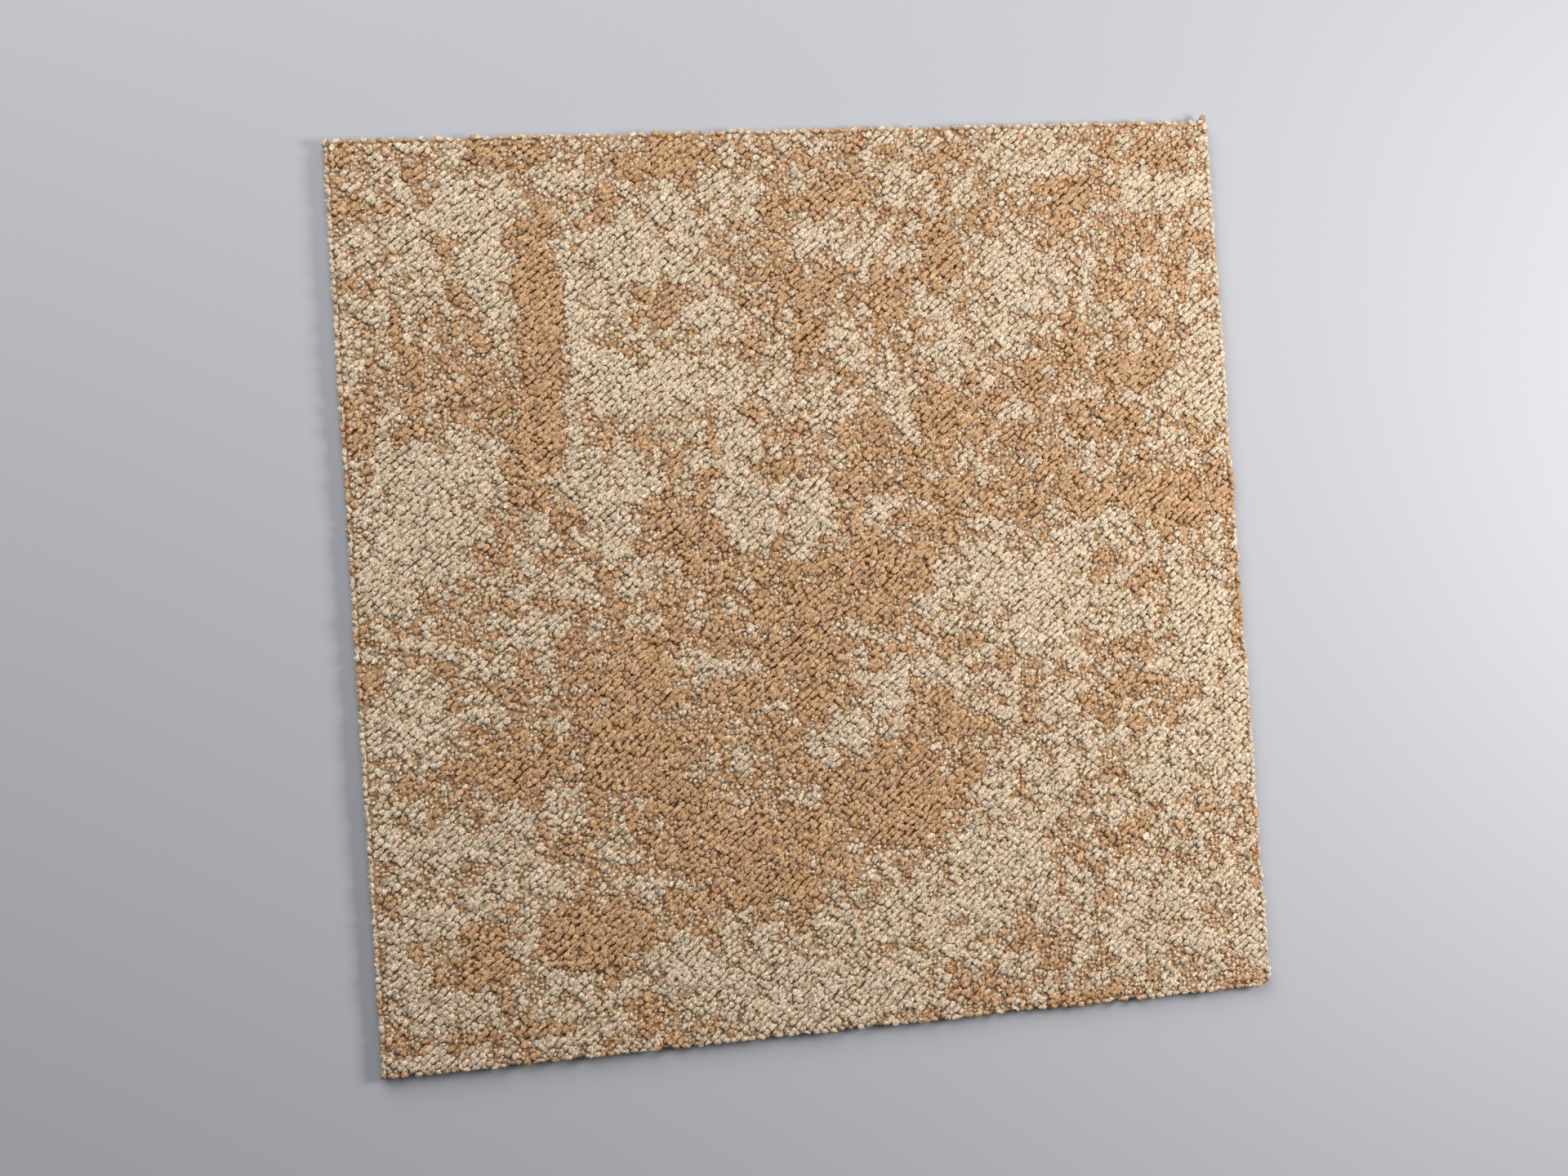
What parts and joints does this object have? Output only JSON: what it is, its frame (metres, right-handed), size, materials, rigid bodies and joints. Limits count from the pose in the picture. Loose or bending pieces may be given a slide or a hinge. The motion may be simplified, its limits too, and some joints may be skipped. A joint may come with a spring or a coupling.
{
  "type": "carpet tile",
  "caption": "Square loop-pile carpet tile: a mottled two-colour multi-level loop face bonded to a heavy flexible backing slab.",
  "frame": {"origin": "middle of the square on the underside of the backing, which lies on the floor", "axes": "+Z out of the pile, +Y along the tufting rows (towards the edge that is uppermost in the picture), +X across them"},
  "size_m": [0.5, 0.5, 0.0075],
  "materials": {
    "backing": "matt charcoal filled thermoplastic with a fine fleece on its underside",
    "sand_yarn": "bulked nylon loop pile, sand",
    "tan_yarn": "bulked nylon loop pile, tan"
  },
  "bodies": {
    "root": {"backing": "backing", "pile": "sand_yarn"}
  },
  "joints": []
}
